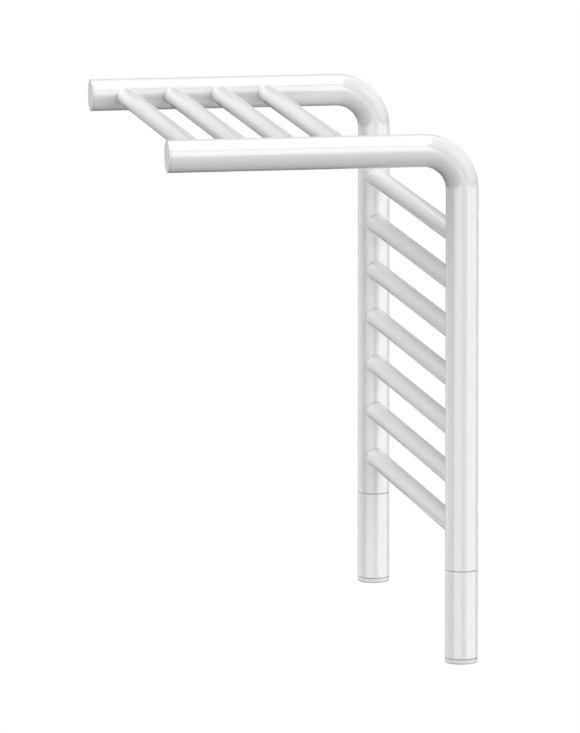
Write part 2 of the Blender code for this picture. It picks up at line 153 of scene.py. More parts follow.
def arc(centre_r, centre_h, radius, start, end, steps=5):
    """Profile points (radius, height) along an arc between two angles in degrees."""
    angles = [math.radians(start + (end - start) * i / steps) for i in range(steps + 1)]
    return [(centre_r + radius * math.cos(a), centre_h + radius * math.sin(a)) for a in angles]


def thread(inner, outer, low, high, pitch):
    """Profile points of a V thread between two heights, listed from low to high."""
    turns = round((high - low) / pitch)
    step = (high - low) / turns / 2
    return [((inner, outer)[i % 2], low + i * step) for i in range(2 * turns + 1)]


def prism(outline, low, high):
    """An outline in X and Y, raised from one height to another."""
    bm = bmesh.new()
    base = bm.faces.new([bm.verts.new((x, y, low)) for x, y in outline])
    grown = bmesh.ops.extrude_face_region(bm, geom=[base])
    moved = [item for item in grown["geom"] if isinstance(item, bmesh.types.BMVert)]
    bmesh.ops.translate(bm, verts=moved, vec=(0, 0, high - low))
    return bm


def hexagon(across_flats):
    corner = across_flats / math.sqrt(3)
    return [(corner * math.cos(i * math.pi / 3), corner * math.sin(i * math.pi / 3)) for i in range(6)]


def place(piece, where, turn=None):
    """Moves a piece's mesh from about the origin to its place. The object itself stays at the origin."""
    piece.data.transform(Matrix.Translation(where) @ (turn or Matrix.Identity(4)))
    return piece


FACING_WALL = Matrix.Rotation(-math.pi / 2, 4, "X")  # turns +Z to +Y


def combine(piece, tools, operation="DIFFERENCE"):
    """Applies Booleans to a piece and removes the tools."""
    for tool in tools:
        step = piece.modifiers.new(operation.title(), "BOOLEAN")
        step.operation = operation
        step.object = tool
    bpy.context.view_layer.update()
    mesh = bpy.data.meshes.new_from_object(piece.evaluated_get(bpy.context.evaluated_depsgraph_get()))
    piece.modifiers.clear()
    piece.data = mesh
    for tool in tools:
        bpy.data.objects.remove(tool)
    return smooth(piece)


def rod(radius, where, reach, turn=None, sides=FINE_SIDES):
    """A plain cylinder along Z from reach[0] to reach[1], turned and placed. It is used as a cutter."""
    bm = turned([(0, reach[0]), (radius, reach[0]), (radius, reach[1]), (0, reach[1])], sides)
    return place(new_object("tool", bm), where, turn)


def dress(piece, material, node, body=FRAME_BODY):
    """Gives a finished piece its material and its CAD body, and lets it stand for a CAD node."""
    piece.data.materials.clear()
    piece.data.materials.append(material)
    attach(piece, body)
    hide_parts(node)
    return piece


# ---- Frame --------------------------------------------------------------------------------------


def upright(hand, finish):
    """The bent tube: a leg, a bend and an arm, hollow, with a broken edge where its sleeve begins."""
    node = f"{hand}_upright"
    x = HANDS[hand] * LEG_X
    pivot = Matrix.Translation((x, LEG_Y - BEND_R, ARM_Z - BEND_R))
    to_centreline = Matrix.Translation((0, BEND_R, 0))
    foot = Matrix.Translation((x, LEG_Y, FOOT_Z))
    foot_edge = Matrix.Translation((0, 0, EDGE)) @ foot
    bend = []
    for i in range(BEND_STEPS + 1):
        bend.append(pivot @ Matrix.Rotation(i / BEND_STEPS * math.pi / 2, 4, "X") @ to_centreline)
    arm_end = Matrix.Translation((0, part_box(node)[0].y - bend[-1].translation.y, 0)) @ bend[-1]
    outside = [(TUBE_R - EDGE, foot), *((TUBE_R, at) for at in (foot_edge, *bend, arm_end))]
    inside = [(TUBE_BORE, at) for at in (arm_end, *reversed(bend), foot)]
    bm = bmesh.new()
    rings = []
    for radius, at in outside + inside:
        points = [Vector((radius * math.cos(a), radius * math.sin(a), 0)) for a in around(TUBE_SIDES)]
        rings.append([bm.verts.new(at @ point) for point in points])
    skin(bm, rings, closed=True)
    tube = new_object(f"{node}_tube", bm)
    holes = []
    for level in LEVELS:
        boss = f"{level}_{hand}_wall_boss"
        where = Vector((x, LEG_Y, middle(boss).z))
        holes.append(rod(size(boss).x / 2 + GAP, where, REAR_WALL, FACING_WALL))
    dress(combine(tube, holes), finish, node)


def bar(node, finish):
    """A cross bar. Each end flares into its weld's small fillet and runs on into the upright's wall."""
    fillet = 0.0006
    fillet_steps = 5
    fillet_sharp = 50  # degrees, above the fillet's own steps
    centre = middle(node)
    radius = size(node).z / 2
    joins_leg = abs(centre.y - LEG_Y) < TUBE_R

    def ring(side, r, stand_off):
        """Points around the bar where it stands off from the upright's curved side."""
        points = []
        for a in around(BAR_SIDES):
            y, z = r * math.cos(a), r * math.sin(a)
            depth = math.sqrt(TUBE_R ** 2 - (y if joins_leg else z) ** 2)
            points.append(bm.verts.new((side * (LEG_X - depth - stand_off), centre.y + y, centre.z + z)))
        return points

    bm = bmesh.new()
    flare = [(radius + fillet, -TUBE_WALL / 2)]
    for i in range(fillet_steps + 1):
        a = math.pi / 2 * (1 - i / fillet_steps)
        flare.append((radius + fillet * (1 - math.cos(a)), fillet * (1 - math.sin(a))))
    rings = [ring(-1, r, off) for r, off in flare] + [ring(1, r, off) for r, off in reversed(flare)]
    skin(bm, rings)
    bm.faces.new(rings[0])
    bm.faces.new(rings[-1])
    dress(new_object(f"{node}_tube", bm, fillet_sharp), finish, node)


def arm_cap(hand, finish):
    """The plate welded over an arm's end and dressed flush, with its edge just broken."""
    node = f"{hand}_arm_cap"
    edge = 0.0004
    plug_r = TUBE_BORE - GAP
    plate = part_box(f"{hand}_upright")[0].y - ARM_END_Y
    depth = size(node).y
    profile = [(0, 0), (TUBE_R - 2 * edge, 0), *arc(TUBE_R - edge, edge, edge, -90, 0)]
    profile += [(TUBE_R, plate), (plug_r, plate), (plug_r, depth), (0, depth)]
    cap = new_object(f"{node}_plate", turned(profile))
    where = (HANDS[hand] * LEG_X, ARM_END_Y, ARM_Z)
    dress(place(cap, where, FACING_WALL), finish, node)


def wall_boss(node, finish):
    """A threaded boss, with a countersunk mouth and the cone that the tapping drill leaves."""
    radius = size(node).x / 2
    depth = size(node).y
    bore, thread_r, mouth, pitch = 0.0034, 0.0039, 0.0042, 0.00125
    thread_end, cone = -0.0095, 0.0015
    profile = [(0, -depth), (radius - EDGE, -depth), (radius, EDGE - depth)]
    profile += [(radius, -EDGE), (radius - EDGE, 0), (mouth, 0)]
    profile += reversed(thread(bore, thread_r, thread_end, bore - mouth, pitch))
    profile += [(0, thread_end - cone)]
    boss = new_object(node.replace("wall_boss", "threaded_boss"), turned(profile, FINE_SIDES), THREAD_SHARP)
    centre = middle(node)
    dress(place(boss, (centre.x, 0, centre.z), FACING_WALL), finish, node)


# ---- Leg ends -----------------------------------------------------------------------------------


def leg(hand):
    """The foot of a leg's centreline, where turned parts of the leg are placed."""
    return Vector((HANDS[hand] * LEG_X, LEG_Y, 0))


def sleeve(hand, node, finish, entries):
    """The sleeve over a leg's foot, with a broken edge at both of its seams and its holes at the rear."""
    low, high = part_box(node)
    profile = [
        (TUBE_BORE, low.z), (TUBE_R - EDGE, low.z), (TUBE_R, low.z + EDGE),
        (TUBE_R, high.z - EDGE), (TUBE_R - EDGE, high.z), (TUBE_BORE, high.z),
    ]
    shell = place(new_object(f"{node}_tube", turned(profile, closed=True)), leg(hand))
    holes = []
    for entry, radius in entries:
        where = leg(hand) + Vector((0, 0, middle(entry).z))
        holes.append(rod(radius + GAP, where, REAR_WALL, FACING_WALL))
    dress(combine(shell, holes), finish, node)


def leg_cap(name, node, clearance, hub):
    """A cap with a flat underside, a rounded edge, a flush side and a skirt that fits inside the sleeve.

    A hub point with no height is level with the seat, which is both the seam and the inner floor.
    """
    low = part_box(node)[0].z
    rounding, lead, skirt_wall = 0.0022, 0.0004, 0.002
    seat, skirt_top = low + 0.00545, low + 0.0095
    skirt_r = TUBE_BORE - clearance
    skirt_inner = skirt_r - skirt_wall
    profile = [(0, low), (TUBE_R - rounding - lead, low)]
    profile += arc(TUBE_R - rounding, low + rounding, rounding, -90, 0, steps=10)
    profile += [(TUBE_R, seat - EDGE), (TUBE_R - EDGE, seat), (skirt_r, seat)]
    profile += [(skirt_r, skirt_top - lead), (skirt_r - lead, skirt_top), (skirt_inner, skirt_top)]
    profile += [(skirt_inner, seat), *((radius, height or seat) for radius, height in hub)]
    return new_object(name, turned(profile))


def plain_cap(finish):
    node = "plain_end_cap"
    dress(place(leg_cap("plain_cap", node, GAP, [(0, None)]), leg("left")), finish, node)


def beyond_flat(flat):
    """An outline that takes in all of a shaft or bore beyond its flat."""
    wide, far = 0.004, 0.006
    return [(-wide, flat), (wide, flat), (wide, far), (-wide, far)]


def knob(finish):
    """The control knob: a cap with a bored hub for the shaft's flat, and a pointer groove underneath."""
    node = "control_knob"
    low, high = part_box(node)
    hub_r, bore_r, flat, web = 0.005, 0.0023, 0.0016, 0.0024
    hub = [(hub_r, None), (hub_r, high.z - EDGE), (hub_r - EDGE, high.z), (0, high.z)]
    body = place(leg_cap("knob_cap", node, 2 * GAP, hub), leg("right"))
    bore = rod(bore_r, leg("right"), (low.z + web, high.z + PAST))
    key = new_object("tool", prism(beyond_flat(flat), low.z, high.z + 2 * PAST))
    combine(bore, [place(key, leg("right"))])
    half, near, far, depth, steps = 0.0006, 0.0060, 0.0165, 0.0007, 8
    groove = []
    for end_y, start in ((-near - half, 0), (-far + half, 180)):
        for i in range(steps + 1):
            a = math.radians(start + 180 * i / steps)
            groove.append((half * math.cos(a), end_y + half * math.sin(a)))
    pointer = place(new_object("tool", prism(groove, low.z - PAST, low.z + depth)), leg("right"))
    combine(body, [bore, pointer])
    dress(body, finish, node, KNOB_BODY)


def grub_screw(hand, finish):
    """A set screw with a hexagon socket, its edges chamfered, and the groove of its thread."""
    node = f"{hand}_grub_screw"
    low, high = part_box(node)
    radius, length = size(node).x / 2, high.y - low.y
    chamfer, groove, pitch, across_flats, socket = 0.0003, 0.0002, 0.0007, 0.002, 0.0016
    profile = [(0, -length), (radius - chamfer, -length)]
    profile += thread(radius, radius - groove, chamfer - length, -chamfer, pitch)
    profile += [(radius - chamfer, 0), (0, 0)]
    where = Vector((middle(node).x, high.y, middle(node).z))
    screw = place(new_object(f"{node}_body", turned(profile, FINE_SIDES), THREAD_SHARP), where, FACING_WALL)
    tool = place(new_object("tool", prism(hexagon(across_flats), -socket, PAST)), where, FACING_WALL)
    dress(combine(screw, [tool]), finish, node)


def grommet(finish):
    """The rubber ring where the supply lead enters: a rounded lip, a flange inside and a grooved bore."""
    node = "cable_grommet"
    low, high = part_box(node)
    flange_r, neck_r, bore, groove = size(node).x / 2, GROMMET_NECK_R, 0.0032, 0.00025
    neck, length, lip, lip_sharp = 0.0017, high.y - low.y, 0.0004, 45
    profile = [(bore, 0), *arc(flange_r - lip, lip, lip, -90, 0)]
    profile += [*arc(flange_r - lip, neck - lip, lip, 0, 90), (neck_r, neck)]
    profile += arc(neck_r - lip, length - lip, lip, 0, 90)
    profile += arc(bore + lip, length - lip, lip, 90, 180)
    for height in (0.65 * length, 0.3 * length):
        profile += [(bore, height + 2 * groove), (bore + groove, height + groove), (bore, height)]
    ring = new_object("supply_grommet", turned(profile, FINE_SIDES, closed=True), lip_sharp)
    dress(place(ring, (middle(node).x, low.y, middle(node).z), FACING_WALL), finish, node)


# ---- Inside the legs ----------------------------------------------------------------------------


def bush(hand, finish):
    """The ring in an upright's foot: a fine inner thread, and a dimple behind for the grub screw."""
    node = f"{hand}_bush"
    low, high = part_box(node)
    outer, bore, lead = size(node).x / 2, 0.0105, 0.0006
    profile = [(outer - lead, low.z), (outer, low.z + lead), (outer, high.z - lead), (outer - lead, high.z)]
    profile += [(bore + lead, high.z)]
    profile += reversed(thread(bore, bore + lead, low.z + lead, high.z - lead, BUSH_PITCH))
    profile += [(bore + lead, low.z)]
    ring = place(new_object(f"{node}_ring", turned(profile, closed=True), THREAD_SHARP), leg(hand))
    screw = f"{hand}_grub_screw"
    where = leg(hand) + Vector((0, 0, middle(screw).z))
    reach = (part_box(screw)[0].y - LEG_Y - GAP, outer + PAST)
    dimple = rod(size(screw).x / 2 + GAP, where, reach, FACING_WALL)
    dress(combine(ring, [dimple]), finish, node)


def hex_plug(hand, node, finish, holes):
    """A plug with a threaded shank, a flange under its sealing ring, and a hexagon with turned corners."""
    low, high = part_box(node)
    flange_r, shank_r, lead, flange, across_flats = 0.0145, 0.0102, 0.0006, 0.0026, 0.027
    flange_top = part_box("blank_plug_o_ring")[0].z - GAP
    flange_low = flange_top - flange
    shank = thread(shank_r - lead, shank_r, flange_top + 3 * lead, high.z - lead, BUSH_PITCH)
    profile = [(0, flange_low - lead), (flange_r - lead, flange_low - lead), (flange_r - lead, flange_low)]
    profile += [(flange_r, flange_low + lead), (flange_r, flange_top - EDGE), (flange_r - EDGE, flange_top)]
    profile += [(shank_r - lead, flange_top), *shank, (shank_r - 2 * lead, high.z), (0, high.z)]
    plug = place(new_object(f"{node}_body", turned(profile), THREAD_SHARP), leg(hand))
    corner_r = size(node).x / 2
    head = place(new_object("tool", prism(hexagon(across_flats), low.z, flange_low + EDGE)), leg(hand))
    cone = [(0, low.z - lead), (corner_r - 3 * lead, low.z - lead), (corner_r, low.z + lead)]
    cone += [(corner_r, flange_low + PAST), (0, flange_low + PAST)]
    combine(head, [place(new_object("tool", turned(cone)), leg(hand))], "INTERSECT")
    combine(plug, [head], "UNION")
    cutters = []
    for x, radius in holes:
        cutters.append(rod(radius, leg(hand) + Vector((x, 0, 0)), (low.z - PAST, high.z + PAST)))
    dress(combine(plug, cutters), finish, node)


def o_ring(hand, node, finish):
    steps = 24
    radius = size(node).z / 2
    centre_r, centre_z = size(node).x / 2 - radius, middle(node).z
    section = [(centre_r + radius * math.cos(a), centre_z + radius * math.sin(a)) for a in around(steps)]
    ring = place(new_object(f"{node}_ring", turned(section, closed=True)), leg(hand))
    dress(ring, finish, node)


def wire(name, stops, across, sides=24):
    """A round wire through (point, radius) stops with closed ends. Across is never along the wire."""
    bm = bmesh.new()
    rings = [[bm.verts.new(stops[0][0])]]
    for i, (point, radius) in enumerate(stops):
        along = (stops[min(i + 1, len(stops) - 1)][0] - stops[max(i - 1, 0)][0]).normalized()
        u = (across - across.dot(along) * along).normalized()
        v = along.cross(u)
        section = [radius * (math.cos(a) * u + math.sin(a) * v) for a in around(sides)]
        rings.append([bm.verts.new(point + offset) for offset in section])
    rings.append([bm.verts.new(stops[-1][0])])
    skin(bm, rings)
    return new_object(name, bm)


def heating_element(finish):
    """The hairpin: a thin pin at each end, a bead of sealing compound, and the sheath up and round."""
    node = "heating_element"
    low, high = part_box(node)
    radius = size(node).y / 2
    pin_r, pin, chamfer, steps = 0.0012, 0.0022, 0.0004, 32
    turn_z = high.z - radius - HAIRPIN_HALF
    start = leg("right") + Vector((-HAIRPIN_HALF, 0, 0))
    ends = [(low.z, pin_r - EDGE), (low.z + EDGE, pin_r), (low.z + pin, pin_r)]
    ends += [(low.z + pin + EDGE / 2, radius - chamfer), (low.z + pin + chamfer, radius)]
    stops = [(start + Vector((0, 0, z)), r) for z, r in ends]
    for i in range(steps + 1):
        a = math.pi * (1 - i / steps)
        offset = Vector((HAIRPIN_HALF * math.cos(a), 0, turn_z + HAIRPIN_HALF * math.sin(a)))
        stops.append((leg("right") + offset, radius))
    stops += [(point + Vector((2 * HAIRPIN_HALF, 0, 0)), r) for point, r in reversed(stops[:len(ends)])]
    dress(wire("heating_hairpin", stops, Vector((0, 1, 0))), finish, node)


def temperature_probe(finish):
    """A closed steel tube with a domed tip and two crimped rings at its foot."""
    node = "temperature_probe"
    low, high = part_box(node)
    radius = size(node).x / 2
    crimp, crimp_heights = 0.00025, (0.0015, 0.0030)
    profile = [(0, low.z), (radius - EDGE, low.z), (radius, low.z + EDGE)]
    for height in crimp_heights:
        at = low.z + height
        profile += [(radius, at), (radius - crimp, at + crimp)]
        profile += [(radius - crimp, at + 2 * crimp), (radius, at + 3 * crimp)]
    profile += [*arc(0, high.z - radius, radius, 0, 80, steps=8), (0, high.z)]
    probe = place(new_object("temperature_probe_tube", turned(profile, FINE_SIDES)), leg("right"))
    dress(probe, finish, node)


def heater_lead(hand, finish):
    """An insulated wire from the element over the board's top edge, with a ferrule at the terminals."""
    node = f"heater_lead_{hand}"
    radius, steps, ferrule, sheath = 0.0011, 32, 0.0016, 0.0003
    side, clamp = HANDS[hand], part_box("terminal_block")
    start = leg("right") + Vector((side * HAIRPIN_HALF, 0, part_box("heating_element")[0].z - GAP))
    end = Vector((LEG_X + side * TERMINAL_HALF, middle("terminal_block").y, clamp[1].z + GAP))
    stops = []
    for i in range(steps + 1):
        t = i / steps
        point = start.lerp(end, t * t * (3 - 2 * t))
        point.z = start.z + (end.z - start.z) * t
        stops.append((point, radius if point.z - end.z > ferrule else radius - sheath))
    dress(wire(f"{node}_wire", stops, Vector((1, 0, 0))), finish, node)


# ---- The control --------------------------------------------------------------------------------


def block(name, low, high, edge=0.0004):
    """A box between two corners, with its edges rounded."""
    bm = bmesh.new()
    bmesh.ops.create_cube(bm, size=1)
    bmesh.ops.scale(bm, vec=high - low, verts=bm.verts)
    bmesh.ops.translate(bm, vec=(low + high) / 2, verts=bm.verts)
    bmesh.ops.bevel(bm, geom=bm.edges, offset=edge, segments=3, profile=0.5, affect="EDGES")
    return new_object(name, bm)


def terminal_block(finish):
    """Two clamps side by side: a wire entry above and below each, and a slotted screw at its rear."""
    node = "terminal_block"
    low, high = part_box(node)
    entry_r, entry_depth = 0.0013, 0.002
    pin_r, pin_depth = 0.0014, 0.003
    screw_r, screw_depth = 0.0017, 0.0012
    slot_low, slot_high = Vector((-0.0012, -0.0024, -0.0003)), Vector((0.0012, PAST, 0.0003))
    body = block("terminal_housing", low, high)
    rear = Vector((LEG_X, high.y, middle(node).z))
    cutters = []
    for side in HANDS.values():
        screw = rear + Vector((side * TERMINAL_HALF, 0, 0))
        entry = Vector((screw.x, middle(node).y, 0))
        cutters.append(rod(entry_r, entry, (high.z - entry_depth, high.z + PAST)))
        cutters.append(rod(pin_r, entry, (low.z - PAST, low.z + pin_depth)))
        cutters.append(rod(screw_r, screw, (-screw_depth, PAST), FACING_WALL))
        cutters.append(block("tool", screw + slot_low, screw + slot_high, edge=0.00005))
    divider = Vector((0.0003, 0.0006, 0.01))
    cutters.append(block("tool", rear - divider, rear + divider, edge=0.0001))
    dress(combine(body, cutters), finish, node)


def circuit_board(finish):
    """The board, with rounded edges and rows of holes for the pins and legs of its parts."""
    node = "circuit_board"
    low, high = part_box(node)
    hole_r, pitch, rows = 0.0005, 0.0048, (0.004, 0.012, 0.020, 0.026, 0.036)
    board = block("control_board", low, high, edge=0.0002)
    reach = (low.y - LEG_Y - PAST, high.y - LEG_Y + PAST)
    holes = []
    for column in range(-2, 3):
        for row in rows:
            where = Vector((LEG_X + column * pitch, LEG_Y, low.z + row))
            holes.append(rod(hole_r, where, reach, FACING_WALL, sides=16))
    dress(combine(board, holes), finish, node)


def relay(finish):
    """A sealed relay: a rounded case on a slightly smaller base, with a vent in its face."""
    node = "power_relay"
    low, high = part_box(node)
    base, inset = 0.0012, Vector((0.0004, 0, 0.0004))
    vent_r, vent_depth, from_corner = 0.0006, 0.0004, 0.002
    case = block("relay_case", low, high - Vector((0, base, 0)))
    foot = block("tool", Vector((low.x, high.y - 2 * base, low.z)) + inset, high - inset, edge=0.0001)
    where = Vector((high.x - from_corner, low.y, high.z - from_corner))
    vent = rod(vent_r, where, (-PAST, vent_depth), FACING_WALL, sides=24)
    dress(combine(combine(case, [foot], "UNION"), [vent]), finish, node)


def capacitor(finish):
    """A can with a crimped foot, a rolled rim and a cross scored into its top."""
    node = "capacitor"
    low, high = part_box(node)
    radius = size(node).x / 2
    rim, crimp = 0.0004, 0.0005
    profile = [(0, low.z), (radius - rim, low.z), *arc(radius - rim, low.z + rim, rim, -90, 0)]
    profile += [(radius, low.z + 3 * crimp), (radius - crimp, low.z + 4 * crimp)]
    profile += [(radius, low.z + 5 * crimp)]
    profile += arc(radius - rim, high.z - rim, rim, 0, 90)
    profile += [(radius - 2 * rim, high.z), (radius - 2 * rim, high.z - rim / 2), (0, high.z - rim / 2)]
    centre = Vector((middle(node).x, middle(node).y, 0))
    can = place(new_object("capacitor_can", turned(profile, FINE_SIDES)), centre)
    top = Vector((centre.x, centre.y, high.z - rim / 2))
    long, thin = radius - 3 * rim, 0.0001
    arms = Vector((long, thin, thin)), Vector((thin, long, thin))
    scores = [block("tool", top - arm, top + arm, edge=thin / 4) for arm in arms]
    dress(combine(can, scores), finish, node)


def potentiometer(finish):
    """The rotary resistor: a stepped round case on a threaded bushing, with a bore for the shaft."""
    node = "potentiometer"
    low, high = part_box(node)
    case_r, bush_r, step = size(node).x / 2, 0.0035, 0.0005
    bore, bore_top = size("control_shaft").x / 2 + GAP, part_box("control_shaft")[1].z + GAP
    carrier_disc = 0.004
    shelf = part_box("control_carrier")[0].z + carrier_disc + GAP
    profile = [(0, high.z), (case_r - 3 * step, high.z), (case_r - 2 * step, high.z - step)]
    profile += [(case_r - 2 * step, high.z - 5 * step), (case_r - step, high.z - 5 * step)]
    profile += [(case_r, high.z - 6 * step), (case_r, shelf + step), (case_r - step, shelf)]
    profile += [(bush_r, shelf)]
    profile += reversed(thread(bush_r, bush_r - EDGE, low.z + EDGE, shelf - EDGE, NUT_PITCH))
    profile += [(bush_r - EDGE, low.z), (bore, low.z), (bore, bore_top), (0, bore_top)]
    case = place(new_object("potentiometer_case", turned(profile), THREAD_SHARP), leg("right"))
    dress(case, finish, node)


def potentiometer_nut(finish):
    """A thin hexagon nut with its corners turned off on both faces, and the thread of its bore."""
    node = "potentiometer_nut"
    low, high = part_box(node)
    corner_r, bore, chamfer = size(node).x / 2, 0.0038, 0.0003
    blank = new_object("potentiometer_nut_body", prism(hexagon(size(node).y), low.z, high.z))
    nut = place(blank, leg("right"))
    profile = [(0, low.z), (corner_r - 2 * chamfer, low.z), (corner_r, low.z + chamfer)]
    profile += [(corner_r, high.z - chamfer), (corner_r - 2 * chamfer, high.z), (0, high.z)]
    round_off = place(new_object("tool", turned(profile)), leg("right"))
    inside = thread(bore, bore + chamfer / 2, low.z - chamfer, high.z + chamfer, NUT_PITCH)
    hole = [(0, low.z - chamfer), *inside, (0, high.z + chamfer)]
    combine(nut, [round_off], "INTERSECT")
    tool = place(new_object("tool", turned(hole, FINE_SIDES)), leg("right"))
    dress(combine(nut, [tool]), finish, node)


def control_shaft(finish):
    """The shaft: chamfered ends, a flat for the knob, and a screwdriver slot in its lower end."""
    node = "control_shaft"
    low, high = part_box(node)
    radius, flat = size(node).x / 2, 0.0013
    profile = [(0, low.z), (radius - EDGE, low.z), (radius, low.z + EDGE)]
    profile += [(radius, high.z - EDGE), (radius - EDGE, high.z), (0, high.z)]
    shaft = place(new_object("control_spindle", turned(profile, FINE_SIDES)), leg("right"))
    hub_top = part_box("control_knob")[1].z + GAP
    key = place(new_object("tool", prism(beyond_flat(flat), low.z - PAST, hub_top)), leg("right"))
    half = Vector((0.003, 0.0004, 0.001))
    centre = leg("right") + Vector((0, 0, low.z))
    slot = block("tool", centre - half, centre + half, edge=0.00005)
    dress(combine(shaft, [key, slot]), finish, node, KNOB_BODY)


# ---- Materials ----------------------------------------------------------------------------------

# For each finish: its colour, the tint it drifts towards, the colour of its edges, its roughness from
# and to, its grains per metre and the height of its bump. The white finishes have painted shade at
# their sharp edges, a dark grey standing in for the shadow in their seams; the others are rubbed lighter.
FINISHES = {
    # The white finishes' dark grey edge colour is painted shade, standing in for the shadow in their seams.
    "white_enamel": (
        (0.86, 0.86, 0.86), (0.84, 0.842, 0.845), (0.22, 0.22, 0.22), (0.04, 0.06), 420, 0.000002),
    "white_plastic": (
        (0.86, 0.86, 0.855), (0.84, 0.84, 0.84), (0.22, 0.22, 0.22), (0.22, 0.30), 900, 0.000006),
    "steel": (
        (0.62, 0.62, 0.63), (0.50, 0.50, 0.52), (0.75, 0.75, 0.76), (0.25, 0.42), 1500, 0.00001),
    "brass": (
        (0.78, 0.60, 0.30), (0.66, 0.47, 0.20), (0.88, 0.74, 0.45), (0.25, 0.40), 1400, 0.00001),
    "rubber": (
        (0.035, 0.035, 0.035), (0.05, 0.05, 0.048), (0.09, 0.09, 0.088), (0.65, 0.85), 1200, 0.00003),
    "black_plastic": (
        (0.03, 0.03, 0.032), (0.045, 0.045, 0.046), (0.10, 0.10, 0.10), (0.45, 0.60), 2500, 0.00001),
    "green_plastic": (
        (0.05, 0.30, 0.11), (0.07, 0.36, 0.14), (0.16, 0.48, 0.24), (0.40, 0.52), 2500, 0.00001),
    "board": (
        (0.02, 0.16, 0.06), (0.05, 0.26, 0.10), (0.30, 0.34, 0.18), (0.25, 0.40), 1800, 0.00001),
}
# The metals, and how much finer their marks are along X, Y and Z. Steel is marked round Z, as turned on
# a lathe, and brass along Z, as drawn bar.
METALS = {"steel": (1, 1, 6), "brass": (6, 6, 1)}


def new_material(name, metallic=0.0):
    made = bpy.data.materials.new(name)
    made.use_nodes = True
    shader = made.node_tree.nodes["Principled BSDF"]
    shader.inputs["Metallic"].default_value = metallic
    return made, made.node_tree, shader


def join(tree, kind, links, **settings):
    """Adds a node, sets its properties and inputs, and links other nodes' outputs to its inputs."""
    made = tree.nodes.new(kind)
    for key, value in settings.items():
        if hasattr(made, key):
            setattr(made, key, value)
    for name, value in settings.items():
        if not hasattr(made, name):
            made.inputs[name.replace("_", " ").title()].default_value = value
    for name, source in links.items():
        tree.links.new(source, made.inputs[name])
    return made


def noise(tree, scale, detail, stretch=(1, 1, 1)):
    """Noise over the object's own space, in metres. Returns its value."""
    coords = tree.nodes.new("ShaderNodeTexCoord")
    spread = join(tree, "ShaderNodeMapping", {"Vector": coords.outputs["Object"]})
    spread.inputs["Scale"].default_value = stretch
    source = {"Vector": spread.outputs["Vector"]}
    return join(tree, "ShaderNodeTexNoise", source, Scale=scale, Detail=detail).outputs["Fac"]


def ramp(tree, value, low, high, start, end, interpolation="LINEAR"):
    """Maps a value from one range to another."""
    made = join(tree, "ShaderNodeMapRange", {"Value": value}, interpolation_type=interpolation)
    for name, number in (("From Min", low), ("From Max", high), ("To Min", start), ("To Max", end)):
        made.inputs[name].default_value = number
    return made.outputs["Result"]


def blend(tree, factor, first, second):
    """Mixes two colours."""
    made = tree.nodes.new("ShaderNodeMix")
    made.data_type = "RGBA"
    for index, colour in ((6, first), (7, second)):
        if isinstance(colour, bpy.types.NodeSocket):
            tree.links.new(colour, made.inputs[index])
        else:
            made.inputs[index].default_value = (*colour, 1)
    tree.links.new(factor, made.inputs[0])
    return made.outputs[2]


def calc(tree, operation, *values):
    """One step of arithmetic on numbers or other nodes' outputs."""
    made = tree.nodes.new("ShaderNodeMath")
    made.operation = operation
    for socket, value in zip(made.inputs, values):
        if isinstance(value, bpy.types.NodeSocket):
            tree.links.new(value, socket)
        else:
            socket.default_value = value
    return made.outputs[0]


def bumped(tree, shader, height, distance):
    made = join(tree, "ShaderNodeBump", {"Height": height}, Distance=distance)
    tree.links.new(made.outputs["Normal"], shader.inputs["Normal"])


def wear_and_seam_shade(tree, grain):
    """1 on the sharp edges of a piece and 0 on its faces, broken up by the grain; it places both rubbed
    wear and painted seam shade.
    """
    rounded = join(tree, "ShaderNodeBevel", {}, samples=4)
    rounded.inputs["Radius"].default_value = WEAR_AND_SEAM_SHADE_WIDTH
    facing = tree.nodes.new("ShaderNodeVectorMath")
    facing.operation = "DOT_PRODUCT"
    tree.links.new(rounded.outputs["Normal"], facing.inputs[0])
    tree.links.new(tree.nodes.new("ShaderNodeNewGeometry").outputs["Normal"], facing.inputs[1])
    sharp = ramp(tree, facing.outputs["Value"], 0.99, 0.90, 0, 1)
    patchy = ramp(tree, noise(tree, grain / 2, 3), 0.35, 0.60, 0.7, 1)
    return calc(tree, "MULTIPLY", sharp, patchy)


def finish_of(name):
    """A finish whose colour drifts towards a tint, with a coloured band on its sharp edges (painted seam
    shade on the white finishes, rubbed wear on the others), a varying roughness and a fine bump.
    """
    colour, tint, edge, roughness, grain, peel = FINISHES[name]
    stretch = METALS.get(name, (1, 1, 1))
    made, tree, shader = new_material(name, metallic=float(name in METALS))
    drift = ramp(tree, noise(tree, grain / 40, 4), 0.35, 0.65, 0, 1)
    base = blend(tree, drift, colour, tint)
    rough = ramp(tree, noise(tree, grain / 4, 3, stretch), 0.3, 0.7, *roughness)
    # On the white finishes this paints seam shade into the edges; on the others it is rubbed wear.
    base = blend(tree, wear_and_seam_shade(tree, grain), base, edge)
    tree.links.new(base, shader.inputs["Base Color"])
    tree.links.new(rough, shader.inputs["Roughness"])
    bumped(tree, shader, noise(tree, grain, 2, stretch), peel)
    return made


# ---- Camera, light and floor --------------------------------------------------------------------

# The photo's view, in metres, degrees and millimetres.
CAMERA_PLACE = (12.5863, -2.3936, 1.9152)
CAMERA_AZIMUTH = 79.979
CAMERA_PITCH = 8.716
CAMERA_ROLL = -0.016
CAMERA_LENS = 538.7
CAMERA_SENSOR = 36
CAMERA_FAR = 200


def camera():
    data = bpy.data.cameras.new("camera")
    data.sensor_width = CAMERA_SENSOR
    data.lens = CAMERA_LENS
    data.clip_end = CAMERA_FAR
    made = bpy.data.objects.new("camera", data)
    bpy.context.scene.collection.objects.link(made)
    made.location = CAMERA_PLACE
    aim = Matrix.Rotation(math.radians(CAMERA_AZIMUTH), 3, "Z")
    aim = aim @ Matrix.Rotation(math.radians(90 - CAMERA_PITCH), 3, "X")
    aim = aim @ Matrix.Rotation(math.radians(CAMERA_ROLL), 3, "Z")
    made.rotation_euler = aim.to_euler()
    bpy.context.scene.camera = made


